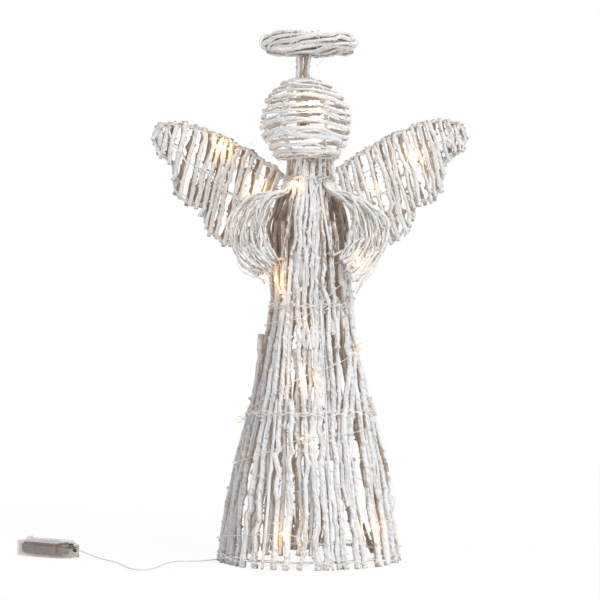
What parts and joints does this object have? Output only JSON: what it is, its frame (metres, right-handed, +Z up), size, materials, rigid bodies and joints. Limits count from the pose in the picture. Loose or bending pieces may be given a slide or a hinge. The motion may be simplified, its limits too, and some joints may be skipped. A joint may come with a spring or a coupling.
{
  "type": "rattan light-up angel",
  "caption": "Free-standing angel of whitewashed twigs on wire hoops, with wound head and halo, stick wings, vine arms and a light string on a clear battery box.",
  "frame": {"origin": "on the floor at the middle of the figure's skirt", "axes": "+Z up, -Y is the front of the figure, +X is the viewer's right"},
  "size_m": [0.5149, 0.2092, 0.5933],
  "materials": {
    "whitewashed_twig": "matte whitewash",
    "greyed_whitewash": "matte whitewash, thinner",
    "bare_twig": "bare bark with white dabs",
    "painted_wire": "matte white paint",
    "lamp_and_wire": "clear drops that glow warm white, on thin wire",
    "clear_plastic": "clear moulded plastic",
    "clear_cable": "clear flat two-core cable",
    "cell_wrap": "plain cell wrap",
    "contact_plating": "plated steel",
    "dark_plastic": "smoked dark plastic",
    "board": "printed board"
  },
  "bodies": {
    "root": {"long_stave_01": "whitewashed_twig", "long_stave_02": "whitewashed_twig", "long_stave_03": "whitewashed_twig", "long_stave_04": "whitewashed_twig", "long_stave_05": "whitewashed_twig", "long_stave_06": "whitewashed_twig", "long_stave_07": "whitewashed_twig", "long_stave_08": "whitewashed_twig", "long_stave_09": "whitewashed_twig", "long_stave_10": "whitewashed_twig", "long_stave_11": "whitewashed_twig", "long_stave_12": "whitewashed_twig", "long_stave_13": "whitewashed_twig", "long_stave_14": "whitewashed_twig", "long_stave_15": "whitewashed_twig", "long_stave_16": "whitewashed_twig", "short_stave_01": "greyed_whitewash", "short_stave_02": "greyed_whitewash", "short_stave_03": "greyed_whitewash", "short_stave_04": "greyed_whitewash", "short_stave_05": "greyed_whitewash", "short_stave_06": "greyed_whitewash", "short_stave_07": "greyed_whitewash", "short_stave_08": "greyed_whitewash", "short_stave_09": "greyed_whitewash", "short_stave_10": "greyed_whitewash", "short_stave_11": "greyed_whitewash", "short_stave_12": "greyed_whitewash", "short_stave_13": "greyed_whitewash", "short_stave_14": "greyed_whitewash", "short_stave_15": "greyed_whitewash", "short_stave_16": "greyed_whitewash", "base_hoop": "painted_wire", "hip_hoop": "painted_wire", "waist_hoop": "painted_wire", "neck_hoop": "painted_wire", "head_winding": "whitewashed_twig", "head_frame": "painted_wire", "halo_winding": "whitewashed_twig", "halo_stalk": "bare_twig", "left_wing_frame": "painted_wire", "left_wing_front_sticks": "whitewashed_twig", "left_wing_back_sticks": "bare_twig", "right_wing_frame": "painted_wire", "right_wing_front_sticks": "whitewashed_twig", "right_wing_back_sticks": "bare_twig", "left_arm": "whitewashed_twig", "right_arm": "whitewashed_twig", "light_string": "lamp_and_wire", "lead_joint": "clear_plastic", "lead": "clear_cable", "lead_gland": "dark_plastic", "battery_case": "clear_plastic", "circuit_board": "board", "battery_cell_near": "cell_wrap", "battery_cell_far": "cell_wrap", "contact_nose": "contact_plating", "contact_tail": "contact_plating"},
    "battery_lid": {"battery_lid": "clear_plastic"},
    "switch_slider": {"switch_slider": "dark_plastic"}
  },
  "joints": [
    {"name": "lid_hinge", "type": "hinge", "parent": "root", "child": "battery_lid", "pos_m": [-0.27807, 0.02402, 0.0165], "axis": [0.5446, 0.8387, 0], "range_deg": [0, 105]},
    {"name": "switch_slide", "type": "slide", "parent": "root", "child": "switch_slider", "axis": [-0.8387, 0.5446, 0], "range_m": [0, 0.003]}
  ]
}
